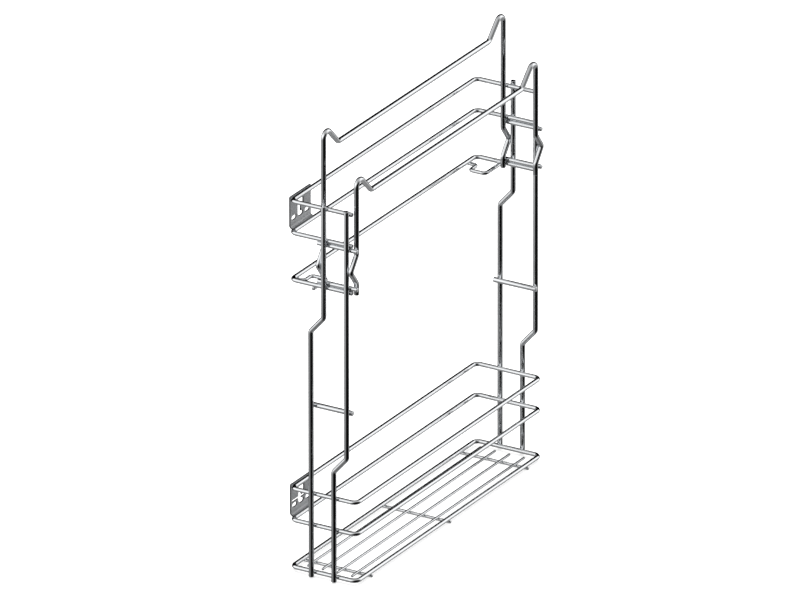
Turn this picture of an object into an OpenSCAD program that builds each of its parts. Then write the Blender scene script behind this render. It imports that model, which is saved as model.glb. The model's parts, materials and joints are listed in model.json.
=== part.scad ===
// Pull-out wirework insert for a narrow base cabinet: a welded chrome frame with a bottle
// basket below, guard wires and two mounting plates above, and a clip-in towel rail unit.
// Millimetres. +Z is up, -Y is the cabinet's front, and the mounting plates are on the -X
// side. The origin is on the floor, under the middle of the insert.

/* [Basket] */
// Width of the basket, between the centres of its long wires
basket_w = 97; // [85:1:130]
// Depth of the basket, between the centres of its front and back wires
basket_depth = 470; // [380:1:520]
// Bend radius of the basket and guard wires, to the wire's centre
corner_r = 8; // [6:0.5:14]
// Distance that the base cross wires stand out past the long side wires' centres
cross_overhang = 3.5; // [3:0.5:6]
// Distance of the outer base cross wires from the front and back wires
cross_inset = 35; // [25:1:60]
// Spacing of the four thin wires along the base
long_pitch = 22; // [17:0.5:23]
// Distance of the thin wires' ends from the front and back wires
long_inset = 14; // [8:1:20]

/* [Wire diameters] */
// Diameter of the four uprights
upright_d = 7; // [6:0.5:8]
// Diameter of the basket rings and guard wires
ring_d = 6; // [5:0.5:7]
// Diameter of the two mid-height braces
brace_d = 7; // [6:0.5:8]
// Diameter of the two towel rails and their legs
rail_d = 7; // [6:0.5:8]
// Diameter of the bars that join the towel rails' legs
bar_d = 6; // [5:0.5:7]
// Diameter of the cranked hook wires
hook_d = 5; // [4:0.5:6]
// Diameter of the base cross wires
cross_d = 4; // [3:0.5:5]
// Diameter of the thin wires along the base
long_d = 3.5; // [2.5:0.5:4]
// Depth that two welded wires are sunk into each other
weld_sink = 0.3; // [0.2:0.05:0.4]

/* [Levels] */
// Height of the whole insert, from the floor to the top of the high towel rail's horns
insert_h = 626.5; // [600:0.5:700]
// Rise from the base ring to the middle ring
mid_ring_rise = 66.2; // [50:0.1:90]
// Rise from the middle ring to the rim ring
rim_rise = 44.2; // [40:0.1:60]
// Rise from the rim ring to the two braces
brace_rise = 125.4; // [100:0.1:150]
// Rise from the lowest to the middle guard wire
guard_mid_rise = 65.8; // [62:0.1:90]
// Rise from the middle to the top guard wire
guard_top_rise = 44.2; // [40:0.1:60]
// Height that the uprights stand above the top guard wire's centre
upright_over = 5.9; // [4:0.1:12]
// Length of the uprights below the underside of the base ring
upright_under = 1.8; // [1:0.1:3]

/* [Uprights] */
// Distance from the left long wires to the lower part of the left uprights
upright_left = 33; // [29:0.5:34]
// Spacing of the left and right uprights
upright_pitch = 34; // [33:0.5:36]
// Sideways shift of each upright at its joggle
joggle_shift = 19.5; // [14:0.5:20]
// Slant of a joggle from the vertical, in degrees
joggle_slant = 41.5; // [30:0.5:50]
// Bend radius at a joggle
joggle_r = 8; // [6:0.5:10]
// Distance of the left joggle's top below the lowest guard wire
left_joggle_drop = 41; // [30:1:80]
// Distance of the right joggle's foot above the rim ring
right_joggle_lift = 40.5; // [20:0.5:60]
// Distance that braces, guard wires and bars stand past the last wire they meet
end_over = 5.5; // [4:0.5:6]

/* [Hook wires] */
// Distance of the hook wire's first crank from the left long wire
hook_in = 10.5; // [9:0.5:13]
// Width of the hook wire's second step
hook_reach = 23.5; // [18:0.5:24]
// Distance of the hook wire's start from the front or back wire
hook_near = 15; // [12:0.5:18]
// Length of the hook wire's step along the long wire
hook_step = 19; // [14:0.5:24]
// Distance that the hook wire runs past the front or back wire's centre
hook_past = 2; // [1:0.5:2]
// Bend radius of the hook wires
hook_r = 5; // [4:0.5:6]

/* [Mounting plates] */
// Thickness of the mounting plates
plate_t = 2; // [1.5:0.5:3]
// Length of the mounting plates
plate_l = 52; // [50:1:70]
// Distance from the front wire's centre to the plate's front edge
plate_inset = 2.8; // [2:0.1:8]
// Height of the plate above the wire that it hangs from
plate_over = 0.2; // [0:0.1:1]
// Inner bend radius where the plate turns in over the lower wire
plate_bend_r = 3; // [3:0.5:5]
// Length of the flange that lies on the lower wire, past the wire's centre
flange_past = 1.5; // [1:0.5:3]
// Length of the fixing slots, end to end
slot_l = 12; // [10:0.5:13]
// Width of the fixing slots
slot_w = 6; // [5:0.5:7]
// Spacing of the three fixing slots
slot_pitch = 16.7; // [16:0.1:17]
// Distance of the fixing slots below the upper wire's centre
slot_drop = 28; // [27.5:0.1:28.5]
// Width of the hanging window above the middle slot
window_w = 14.5; // [12:0.5:16]
// Height of the hanging window
window_h = 9; // [7:0.5:9]
// Distance of the window's top below the upper wire's centre
window_drop = 7; // [5:0.5:8]
// Width of the neck from the window to the middle slot
neck_w = 8; // [6:0.5:9]
// Height of the slit in the lower plate
slit_h = 3; // [2:0.5:3]
// Length of the slit in the lower plate
slit_l = 34.5; // [30:0.5:38]
// Distance of the slit below the upper wire's centre
slit_drop = 21.7; // [21:0.1:22]
// Width of sheet left between the slit and the plate's front edge
slit_web = 2; // [1.5:0.5:4]

/* [Towel rail unit] */
// Rise from the top guard wire to the low towel rail
low_rail_rise = 20.2; // [15:0.1:40]
// Rise from the low towel rail to the high one
high_rail_rise = 57; // [45:0.1:70]
// Distance along Y from a leg to where its arm meets the rail
horn_run = 36.5; // [34:0.5:45]
// Slope of the arms between horns and rail, in degrees
arm_slope = 45; // [43:0.5:47]
// Bend radius at the top of a horn
horn_r = 8.5; // [8:0.5:10]
// Bend radius where an arm meets the rail
valley_r = 8; // [6:0.5:10]
// Outward depth of the kink in a leg
kink_depth = 14; // [12:0.5:15]
// Slant of the kink from the vertical, in degrees
kink_slant = 37; // [35:0.5:40]
// Length of the kink's flat top, corner to corner
kink_flat = 3; // [2.5:0.5:4]
// Distance from the lower bar to the kink's lower end
kink_lift = 5.7; // [5:0.1:8]
// Bend radius at the ends of the kink
kink_r = 7; // [6:0.5:8]
// Bend radius at the top of the kink
kink_top_r = 4.25; // [4:0.25:5]
// Length of a leg below the lower bar
leg_tail = 10; // [6:0.1:12]
// Gap between the clip-in unit and the wires of the frame
unit_gap = 0.3; // [0.2:0.05:0.5]
// Gap between a kinked leg and the upright beside it
hug_gap = 0.5; // [0.3:0.1:1]
// Distance above the upper bar where a springy leg passes into the rail
leg_split = 10; // [8:0.5:14]

/* [Hidden] */
$fn = 32;
chrome = [0.82, 0.83, 0.85];
zinc = [0.56, 0.57, 0.58];
// Extra length of a cutting tool past each face
cut_past = 1;
// Number of thin wires along the base
long_count = 4;

// Nearest angle, within a quarter of a degree, whose sine and cosine are almost exact at six
// decimals. Bends turn by such angles so that the faces of their pieces meet exactly
function six_digits(x) = round(x * 1e6) / 1e6;
function misfit(angle) =
    abs(pow(six_digits(cos(angle)), 2) + pow(six_digits(sin(angle)), 2) - 1);
function clean_angle(angle) =
    let (
        tries = [for (k = [-250 : 250]) angle + k / 1000],
        misfits = [for (try = tries) misfit(try)],
        best = min(misfits)
    ) [for (i = [0 : 500]) if (misfits[i] == best) tries[i]][0];

// Distance between the centres of two wires that cross and are welded, or that only pass
function welded(d1, d2) = (d1 + d2) / 2 - weld_sink;
function passing(d1, d2) = (d1 + d2) / 2 + unit_gap;

// Places across the width, with the object's box centred on X = 0
plate_stand = ring_d / 2 - weld_sink;
left_x = -(basket_w + cross_overhang - plate_stand - plate_t) / 2;
right_x = left_x + basket_w;
low_left_x = left_x + upright_left;
low_right_x = low_left_x + upright_pitch;
high_left_x = low_left_x + joggle_shift;
high_right_x = low_right_x + joggle_shift;
leg_offset = (upright_d + rail_d) / 2 + hug_gap;
high_leg_x = high_left_x - leg_offset;
low_leg_x = high_right_x + leg_offset;

// Places along the depth, for the front half, which the back half mirrors
front_y = -basket_depth / 2;
upright_y = front_y - welded(upright_d, ring_d);
brace_y = upright_y + welded(upright_d, brace_d);
leg_y = front_y + passing(ring_d, rail_d);
bar_y = leg_y - welded(rail_d, bar_d);

// Levels above the floor
cross_z = cross_d / 2;
long_z = cross_z + welded(cross_d, long_d);
base_z = cross_z + welded(cross_d, ring_d);
mid_ring_z = base_z + mid_ring_rise;
rim_z = mid_ring_z + rim_rise;
brace_z = rim_z + brace_rise;
arm_angle = clean_angle(arm_slope);
arm_rise = horn_run * tan(arm_angle);
// Height of a horn's top above its rail's centre
horn_top = arm_rise - horn_r * (tan((90 + arm_angle) / 2) - 1) + rail_d / 2;
high_rail_z = insert_h - horn_top;
low_rail_z = high_rail_z - high_rail_rise;
guard_top_z = low_rail_z - low_rail_rise;
guard_mid_z = guard_top_z - guard_top_rise;
guard_low_z = guard_mid_z - guard_mid_rise;
upright_foot_z = base_z - ring_d / 2 - upright_under;
upright_head_z = guard_top_z + upright_over;
hook_z = guard_low_z - welded(ring_d, hook_d);
bar_low_z = guard_low_z + passing(ring_d, bar_d);
bar_high_z = guard_mid_z - passing(ring_d, bar_d);
leg_foot_z = bar_low_z - leg_tail;
kink_foot_z = bar_low_z + kink_lift;
kink_rise = kink_depth / tan(clean_angle(kink_slant));
kink_head_z = kink_foot_z + 2 * kink_rise + kink_flat;
leg_head_z = bar_high_z + leg_split;
joggle_h = joggle_shift / tan(clean_angle(joggle_slant));

// Angle turned at corner i of a path
function turn(path, i) =
    let (u = path[i] - path[i - 1], v = path[i + 1] - path[i]) atan2(cross(u, v), u * v);
// Length that the bend at corner i takes from each straight beside it
function bend_cut(path, radii, i) =
    i == 0 || i > len(radii) ? 0 : radii[i - 1] * tan(abs(turn(path, i)) / 2);

// Straight round wire along +X from the origin
module wire_run(length, d) {
    rotate([0, 90, 0]) cylinder(d = d, h = length);
}

// Moves its children from the start of a bend to its end
module past_bend(angle, r) {
    centre_y = sign(angle) * r;
    translate([0, centre_y, 0])
        rotate([0, 0, angle])
            translate([0, -centre_y, 0])
                children();
}

// Round bend that starts at the origin along +X and turns left by the angle. The arc is made
// one facet long, then trimmed where the next straight starts, so that the faces meet exactly
module left_bend(angle, d, r) {
    facets = ceil(angle * $fn / 360);
    difference() {
        translate([0, r, 0])
            rotate([0, 0, -90])
                rotate_extrude(angle = angle * (1 + 1 / facets))
                    translate([r, 0])
                        circle(d = d);
        past_bend(angle, r)
            translate([0, -d, -d])
                cube(2 * d);
    }
}

// Bent wire along a path, from its point i on, with point i at the origin and heading +X
module wire_from(path, d, radii, i) {
    length = norm(path[i + 1] - path[i])
        - bend_cut(path, radii, i) - bend_cut(path, radii, i + 1);
    wire_run(length, d);
    if (i < len(radii)) {
        angle = turn(path, i + 1);
        r = radii[i];
        translate([length, 0, 0]) {
            if (angle > 0) left_bend(angle, d, r);
            else mirror([0, 1, 0]) left_bend(-angle, d, r);
            past_bend(angle, r) wire_from(path, d, radii, i + 1);
        }
    }
}

// Bent wire through the points of a path in the XY plane, with a bend radius at each corner
module bent_wire(path, d, radii) {
    heading = path[1] - path[0];
    translate([path[0].x, path[0].y, 0])
        rotate([0, 0, atan2(heading.y, heading.x)])
            wire_from(path, d, radii, 0);
}

// Closed ring of wire, rectangular, centred on the origin in the XY plane
module wire_ring(w, l, d, r) {
    for (side = [0, 1])
        rotate([0, 0, side * 180]) {
            translate([r - w / 2, -l / 2, 0]) {
                wire_run(w - 2 * r, d);
                translate([w - 2 * r, 0, 0]) left_bend(90, d, r);
            }
            translate([w / 2, r - l / 2, 0])
                rotate([0, 0, 90]) {
                    wire_run(l - 2 * r, d);
                    translate([l - 2 * r, 0, 0]) left_bend(90, d, r);
                }
        }
}

// Straight wire along X at the given place
module cross_rod(x_from, x_to, y, z, d) {
    translate([x_from, y, z]) wire_run(x_to - x_from, d);
}

// Upright with one joggle, from the floor to above the top guard wire
module upright(low_x, joggle_z) {
    path = [
        [low_x, upright_foot_z],
        [low_x, joggle_z],
        [low_x + joggle_shift, joggle_z + joggle_h],
        [low_x + joggle_shift, upright_head_z]
    ];
    color(chrome)
        translate([0, upright_y, 0])
            rotate([90, 0, 0])
                bent_wire(path, upright_d, [joggle_r, joggle_r]);
}

module upright_left_side() {
    upright(low_left_x, guard_low_z - left_joggle_drop - joggle_h);
}

module upright_right_side() {
    upright(low_right_x, rim_z + right_joggle_lift);
}

module upright_front_left() { upright_left_side(); }
module upright_front_right() { upright_right_side(); }
module upright_back_left() { mirror([0, 1, 0]) upright_left_side(); }
module upright_back_right() { mirror([0, 1, 0]) upright_right_side(); }

// Brace inside a pair of uprights, in the plane of the basket's front wires
module brace_front() {
    color(chrome)
        cross_rod(low_left_x - end_over, high_right_x + end_over, brace_y, brace_z, brace_d);
}

module brace_back() { mirror([0, 1, 0]) brace_front(); }

// One closed ring of the bottle basket
module basket_ring(z) {
    color(chrome)
        translate([left_x + basket_w / 2, 0, z])
            wire_ring(basket_w, basket_depth, ring_d, corner_r);
}

module basket_rim_ring() { basket_ring(rim_z); }
module basket_middle_ring() { basket_ring(mid_ring_z); }
module basket_base_ring() { basket_ring(base_z); }

// Wire across under the base ring
module base_cross_wire(y) {
    color(chrome)
        cross_rod(left_x - cross_overhang, right_x + cross_overhang, y, cross_z, cross_d);
}

module base_cross_wire_front() { base_cross_wire(front_y + cross_inset); }
module base_cross_wire_middle() { base_cross_wire(0); }
module base_cross_wire_back() { base_cross_wire(-front_y - cross_inset); }

// Thin wire along the base, lying on the cross wires; place counts from the left, 1 to 4
module base_long_wire(place) {
    x = left_x + basket_w / 2 + (place - (long_count + 1) / 2) * long_pitch;
    color(chrome)
        translate([x, front_y + long_inset, long_z])
            rotate([0, 0, 90])
                wire_run(basket_depth - 2 * long_inset, long_d);
}

module base_long_wire_1() { base_long_wire(1); }
module base_long_wire_2() { base_long_wire(2); }
module base_long_wire_3() { base_long_wire(3); }
module base_long_wire_4() { base_long_wire(4); }

// Three-sided guard wire, open on the right, that ends just past the right uprights
module guard_wire(z) {
    end_x = high_right_x + end_over;
    path = [[end_x, front_y], [left_x, front_y], [left_x, -front_y], [end_x, -front_y]];
    color(chrome)
        translate([0, 0, z])
            bent_wire(path, ring_d, [corner_r, corner_r]);
}

module guard_wire_top() { guard_wire(guard_top_z); }
module guard_wire_middle() { guard_wire(guard_mid_z); }
module guard_wire_bottom() { guard_wire(guard_low_z); }

// Cranked hook wire welded under the corner of the lowest guard wire
module hook_wire_front() {
    near_y = front_y + hook_near;
    far_y = near_y + hook_step;
    crank_x = left_x + hook_in;
    end_x = crank_x + hook_reach;
    path = [
        [left_x - ring_d / 2, near_y],
        [crank_x, near_y],
        [crank_x, far_y],
        [end_x, far_y],
        [end_x, front_y - hook_past]
    ];
    color(chrome)
        translate([0, 0, hook_z])
            bent_wire(path, hook_d, [hook_r, hook_r, hook_r]);
}

module hook_wire_back() { mirror([0, 1, 0]) hook_wire_front(); }

// Round-ended slot through the plate, centred on the origin, along Y
module plate_slot(l, w, depth) {
    between = (l - w) / 2;
    for (side = [-1, 1])
        translate([0, side * between, 0])
            rotate([0, 90, 0])
                cylinder(d = w, h = depth, center = true);
    cube([depth, l - w, w], center = true);
}

// Cuts that both mounting plates share, in the plate's middle plane and about its middle
module plate_cuts() {
    depth = plate_t + 2 * cut_past;
    for (place = [-1, 0, 1])
        translate([0, place * slot_pitch, -slot_drop])
            plate_slot(slot_l, slot_w, depth);
    // The window, and the neck from its near side down to the middle slot
    translate([-depth / 2, -window_w / 2, -window_drop - window_h])
        cube([depth, window_w, window_h]);
    translate([-depth / 2, -window_w / 2, -slot_drop])
        cube([depth, neck_w, slot_drop - window_drop]);
}

// Sheet plate on the outer side of two long wires. Its foot turns in and lies on the lower one
module mounting_plate(upper_z, lower_z, with_slit) {
    face_x = left_x - plate_stand;
    near_y = front_y + plate_inset;
    foot_z = lower_z + plate_stand;
    bend_z = foot_z + plate_t + plate_bend_r;
    bend_x = face_x + plate_bend_r;
    top_z = upper_z + ring_d / 2 + plate_over;
    color(zinc) {
        difference() {
            translate([face_x - plate_t, near_y, bend_z])
                cube([plate_t, plate_l, top_z - bend_z]);
            translate([face_x - plate_t / 2, near_y + plate_l / 2, upper_z]) {
                plate_cuts();
                if (with_slit)
                    translate([0, slit_web + (slit_l - plate_l) / 2, -slit_drop])
                        cube([plate_t + 2 * cut_past, slit_l, slit_h], center = true);
            }
        }
        translate([bend_x, near_y + plate_l, bend_z])
            rotate([90, 0, 0])
                rotate([0, 0, 180])
                    plate_elbow();
        translate([bend_x, near_y, foot_z])
            cube([left_x + flange_past - bend_x, plate_l, plate_t]);
    }
}

// Quarter bend of the sheet about the origin, from its -X side down to its -Y side
module plate_elbow() {
    rotate_extrude(angle = 90)
        translate([plate_bend_r, 0])
            square([plate_t, plate_l]);
}

module mounting_plate_upper() { mounting_plate(guard_top_z, guard_mid_z, false); }
module mounting_plate_lower() { mounting_plate(rim_z, mid_ring_z, true); }

// Towel rail with a horn at each end, down to where its springy legs begin
module towel_rail(x, z) {
    path = [
        [leg_y, leg_head_z],
        [leg_y, z + arm_rise],
        [leg_y + horn_run, z],
        [-leg_y - horn_run, z],
        [-leg_y, z + arm_rise],
        [-leg_y, leg_head_z]
    ];
    color(chrome)
        translate([x, 0, 0])
            rotate([90, 0, 90])
                bent_wire(path, rail_d, [horn_r, valley_r, valley_r, horn_r]);
}

module towel_rail_high() { towel_rail(high_leg_x, high_rail_z); }
module towel_rail_low() { towel_rail(low_leg_x, low_rail_z); }

// Springy leg, kinked outwards beside an upright
module spring_leg(x) {
    path = [
        [leg_y, leg_foot_z],
        [leg_y, kink_foot_z],
        [leg_y - kink_depth, kink_foot_z + kink_rise],
        [leg_y - kink_depth, kink_head_z - kink_rise],
        [leg_y, kink_head_z],
        [leg_y, leg_head_z]
    ];
    color(chrome)
        translate([x, 0, 0])
            rotate([90, 0, 90])
                bent_wire(path, rail_d, [kink_r, kink_top_r, kink_top_r, kink_r]);
}

module spring_leg_front_high() { spring_leg(high_leg_x); }
module spring_leg_front_low() { spring_leg(low_leg_x); }
module spring_leg_back_high() { mirror([0, 1, 0]) spring_leg(high_leg_x); }
module spring_leg_back_low() { mirror([0, 1, 0]) spring_leg(low_leg_x); }

// Bar across the outer side of the two legs at one end of the unit
module rail_bar(z) {
    color(chrome)
        cross_rod(high_leg_x - end_over, low_leg_x + end_over, bar_y, z, bar_d);
}

module rail_bar_front_upper() { rail_bar(bar_high_z); }
module rail_bar_front_lower() { rail_bar(bar_low_z); }
module rail_bar_back_upper() { mirror([0, 1, 0]) rail_bar(bar_high_z); }
module rail_bar_back_lower() { mirror([0, 1, 0]) rail_bar(bar_low_z); }

upright_front_left();
upright_front_right();
upright_back_left();
upright_back_right();
brace_front();
brace_back();
basket_rim_ring();
basket_middle_ring();
basket_base_ring();
base_cross_wire_front();
base_cross_wire_middle();
base_cross_wire_back();
base_long_wire_1();
base_long_wire_2();
base_long_wire_3();
base_long_wire_4();
guard_wire_top();
guard_wire_middle();
guard_wire_bottom();
hook_wire_front();
hook_wire_back();
mounting_plate_upper();
mounting_plate_lower();
towel_rail_high();
towel_rail_low();
spring_leg_front_high();
spring_leg_back_high();
spring_leg_front_low();
spring_leg_back_low();
rail_bar_front_upper();
rail_bar_front_lower();
rail_bar_back_upper();
rail_bar_back_lower();
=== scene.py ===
"""Looks of the chrome wire insert of a narrow base cabinet pull-out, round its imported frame.

Metres. The front of the cabinet is at -Y, and the mounting plates are on the -X side.
"""

import json
import math

import bmesh
import bpy
from bpy.props import FloatProperty, FloatVectorProperty, PointerProperty
from mathutils import Matrix, Vector


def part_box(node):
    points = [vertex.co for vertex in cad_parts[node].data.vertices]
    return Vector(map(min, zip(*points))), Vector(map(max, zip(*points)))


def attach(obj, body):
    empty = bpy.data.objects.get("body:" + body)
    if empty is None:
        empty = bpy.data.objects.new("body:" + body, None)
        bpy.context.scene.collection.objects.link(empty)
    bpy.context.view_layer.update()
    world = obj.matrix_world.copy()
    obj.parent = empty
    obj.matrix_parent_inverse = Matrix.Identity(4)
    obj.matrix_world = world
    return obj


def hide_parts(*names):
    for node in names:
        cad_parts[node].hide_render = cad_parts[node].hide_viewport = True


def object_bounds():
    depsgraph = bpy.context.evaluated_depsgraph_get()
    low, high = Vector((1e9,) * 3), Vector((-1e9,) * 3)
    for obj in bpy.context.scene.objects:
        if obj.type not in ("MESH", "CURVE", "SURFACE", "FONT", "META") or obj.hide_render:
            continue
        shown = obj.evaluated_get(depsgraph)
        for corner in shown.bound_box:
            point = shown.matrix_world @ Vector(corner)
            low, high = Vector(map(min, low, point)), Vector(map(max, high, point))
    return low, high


bl_info = {
    "name": "Pull-out wire insert",
    "version": (1, 0, 0),
    "blender": (4, 5, 0),
    "location": "View3D > Sidebar > Wire insert",
    "description": "Draws the chrome wires, plates and welds of a base cabinet's pull-out insert",
    "category": "Object",
}

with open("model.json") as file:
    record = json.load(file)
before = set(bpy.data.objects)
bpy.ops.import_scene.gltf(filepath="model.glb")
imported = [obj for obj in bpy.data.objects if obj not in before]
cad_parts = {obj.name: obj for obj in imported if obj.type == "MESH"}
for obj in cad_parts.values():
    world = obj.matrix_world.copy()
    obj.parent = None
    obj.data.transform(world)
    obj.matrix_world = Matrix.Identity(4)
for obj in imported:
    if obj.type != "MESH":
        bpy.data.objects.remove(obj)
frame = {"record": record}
CAD_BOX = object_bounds()
BODY_OF = {node: body for body, nodes in frame["record"]["behaviour"]["bodies"].items()
           for node in nodes}

MM = 0.001
# Faces round a wire, and the widest step of a bend
SIDES = 32
BEND_STEP = math.radians(9)
# Edges turned by more than this stay sharp
SMOOTH_ANGLE = math.radians(35)
# Points nearer than this are the same point
TOUCH = 0.02 * MM
# Steps of the bevels on a plate's corners, a wire's rims and a plate's edges
CORNER_STEPS, RIM_STEPS, EDGE_STEPS = 4, 3, 2
# Length of a plate's punches, against its thickness
PUNCH_REACH = 4
# Part of a face's normal that tells a cut edge from the sheet's skin
CUT_SLANT = 0.6

ENDS = ("front", "back")
SIDE_NAMES = ("left", "right")
RING_NODES = ("basket_rim_ring", "basket_middle_ring", "basket_base_ring")
GUARD_NODES = ("guard_wire_top", "guard_wire_middle", "guard_wire_bottom")
CROSS_NODES = ("base_cross_wire_front", "base_cross_wire_middle", "base_cross_wire_back")
LONG_NODES = tuple(f"base_long_wire_{place}" for place in (1, 2, 3, 4))
# Each plate and the wire behind the top of its face
PLATES = (("mounting_plate_upper", "guard_wire_top"), ("mounting_plate_lower", "basket_rim_ring"))
X_AXIS, Y_AXIS, Z_AXIS = (1, 0, 0), (0, 1, 0), (0, 0, 1)

# Depth that two welded wires are sunk into each other
WELD_SINK = 0.3 * MM
# A weld's neck, against the thinner wire's diameter: its rim, its waist and half its depth
NECK_RIM, NECK_WAIST, NECK_DEPTH = 0.37, 0.29, 0.18
# Steps along a neck, against half its depth, and whether each narrows or widens it
NECK_STEPS = ((0.6, NECK_WAIST / NECK_RIM), (0.8, 1), (0.6, NECK_RIM / NECK_WAIST))
NECK_SIDES = 16


# Sizes and colours

def linear(hex_colour):
    """A colour written as an sRGB hex value, as the linear RGB that shaders take."""
    channels = [int(hex_colour[i:i + 2], 16) / 255 for i in (1, 3, 5)]
    return [c / 12.92 if c <= 0.04045 else ((c + 0.055) / 1.055) ** 2.4 for c in channels]


def length(name, description, millimetres):
    """A size that the user can change, given here in millimetres."""
    return FloatProperty(name=name, description=description, default=millimetres * MM, min=0.0,
                         precision=5, subtype="DISTANCE", unit="LENGTH")


def slant(name, description, degrees):
    """An angle that the user can change, given here in degrees."""
    return FloatProperty(name=name, description=description, default=math.radians(degrees),
                         subtype="ANGLE", unit="ROTATION")


def colour(name, description, hex_colour):
    """A colour that the user can change, given here as an sRGB hex value."""
    return FloatVectorProperty(name=name, description=description, default=linear(hex_colour),
                               min=0.0, max=1.0, size=3, subtype="COLOR")


class WIRE_INSERT_wire_sizes(bpy.types.PropertyGroup):
    """Bends of the wires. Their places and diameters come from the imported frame."""
    corner_r: length("Corner bends", "Bend radius of the basket rings and guard wires", 8)
    joggle_r: length("Joggle bends", "Bend radius at an upright's joggle", 8)
    joggle_slant: slant("Joggle slant", "Slant of a joggle from the vertical", 41.302)
    left_joggle_drop: length("Left joggle", "Joggle's top below the lowest guard wire", 41)
    right_joggle_lift: length("Right joggle", "Joggle's foot above the rim ring", 40.5)
    hook_r: length("Hook bends", "Bend radius of the hook wires", 5)
    hook_step: length("Hook step", "Step of a hook wire along the insert", 19)
    hook_reach: length("Hook reach", "Step of a hook wire across the insert", 23.5)
    horn_run: length("Horn run", "Distance along Y from a leg to its arm's foot", 36.5)
    arm_slope: slant("Arm slope", "Slope of the arm between a horn and its rail", 44.949)
    horn_r: length("Horn bends", "Bend radius at the top of a horn", 8.5)
    valley_r: length("Rail bends", "Bend radius where an arm meets its rail", 8)
    kink_slant: slant("Kink slant", "Slant of a leg's kink from the vertical", 37.065)
    kink_flat: length("Kink flat", "Flat top of a kink, corner to corner", 3)
    kink_lift: length("Kink lift", "Kink's foot above the lower bar", 5.7)
    kink_r: length("Kink bends", "Bend radius at the ends of a kink", 7)
    kink_top_r: length("Kink top bends", "Bend radius at the top of a kink", 4.25)
    end_softness: length("Rounded ends", "Rounding of the wires' sheared ends", 0.7)


class WIRE_INSERT_plate_sizes(bpy.types.PropertyGroup):
    """Pressed shape of the mounting plates."""
    thickness: length("Thickness", "Thickness of the sheet", 2)
    bend_r: length("Foot bend", "Inner bend radius where the plate turns in", 3)
    corner_r: length("Corners", "Radius of the plate's corners", 1.2)
    edge_softness: length("Soft edges", "Rounding of the sheet's edges", 0.25)
    slot_l: length("Slot length", "Length of the fixing slots, end to end", 12)
    slot_w: length("Slot width", "Width of the fixing slots", 6)
    slot_pitch: length("Slot spacing", "Spacing of the fixing slots", 16.7)
    slot_drop: length("Slot drop", "Fixing slots below the upper wire", 28)
    window_w: length("Window width", "Width of the hanging window", 14.5)
    window_h: length("Window height", "Height of the hanging window", 9)
    window_drop: length("Window drop", "Window's top below the upper wire", 7)
    neck_w: length("Neck width", "Width of the neck down to the middle slot", 8)
    punch_r: length("Punched corners", "Corner radius of the window, neck and slit", 0.8)
    slit_drop: length("Slit drop", "Lower plate's slit below the upper wire", 21.7)
    slit_h: length("Slit height", "Height of the lower plate's slit", 3)
    slit_l: length("Slit length", "Length of the lower plate's slit", 34.5)
    slit_web: length("Slit web", "Sheet left between the slit and the front edge", 2)


class WIRE_INSERT_colours(bpy.types.PropertyGroup):
    """Colours of the finishes and of the studio."""
    chrome: colour("Chrome", "Bright chrome plating", "#F0F2F4")
    weld: colour("Weld", "Chrome plating over a spot weld", "#C4C6C9")
    zinc_dark: colour("Zinc, dark", "Darker clouds of the zinc plating", "#BABCBE")
    zinc_light: colour("Zinc, light", "Lighter clouds of the zinc plating", "#C2C4C6")
    # Bare steel of the cut edges, drawn far darker than bare steel: painted shade that outlines
    # the plates
    cut_edge_and_shade: colour("Cut edge", "Bare sheared edge of the sheet", "#565759")
    board: colour("Floor", "Matte white studio board", "#FAFAFA")


# Modelling

def clear_selection():
    """Leaves edit mode and selects nothing."""
    if bpy.context.object and bpy.context.object.mode != "OBJECT":
        bpy.ops.object.mode_set(mode="OBJECT")
    bpy.ops.object.select_all(action="DESELECT")


def pick(piece):
    """Makes a piece the only one selected, and active."""
    clear_selection()
    piece.select_set(True)
    bpy.context.view_layer.objects.active = piece


def fix_in_place(piece):
    """Puts a piece's place, turn and size into its mesh."""
    pick(piece)
    bpy.ops.object.transform_apply(location=True, rotation=True, scale=True)


def start_editing(select_type="VERT"):
    """Enters edit mode with nothing selected."""
    bpy.ops.object.mode_set(mode="EDIT")
    bpy.ops.mesh.select_mode(type=select_type)
    bpy.ops.mesh.select_all(action="DESELECT")


def choose(piece, kind, wanted):
    """Selects the faces, edges or verts for which wanted is true, in edit mode."""
    mesh = bmesh.from_edit_mesh(piece.data)
    for part in getattr(mesh, kind):
        part.select_set(bool(wanted(part)))
    bmesh.update_edit_mesh(piece.data)


def point_outwards():
    """Turns all the faces of the piece in edit mode outwards."""
    bpy.ops.mesh.select_all(action="SELECT")
    bpy.ops.mesh.normals_make_consistent(inside=False)


def turn_edges(centre, axis, angle):
    """Spins the selected edges about an axis. Blender counts a spin's angle the other way."""
    steps = max(2, math.ceil(angle / BEND_STEP))
    bpy.ops.mesh.spin(steps=steps, angle=-angle, center=centre, axis=axis)


def push_edges(shift):
    """Extrudes the selected edges."""
    bpy.ops.mesh.extrude_edges_move(TRANSFORM_OT_translate={"value": shift})


def add_circle(radius, place, axis, vertices=SIDES, fill="NOTHING"):
    """Adds a circle about a place, square to an axis, with its place in its mesh."""
    clear_selection()
    bpy.ops.mesh.primitive_circle_add(
        vertices=vertices, radius=radius, fill_type=fill, location=place,
        rotation=Vector(axis).to_track_quat("Z", "Y").to_euler())
    piece = bpy.context.object
    fix_in_place(piece)
    return piece


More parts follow.
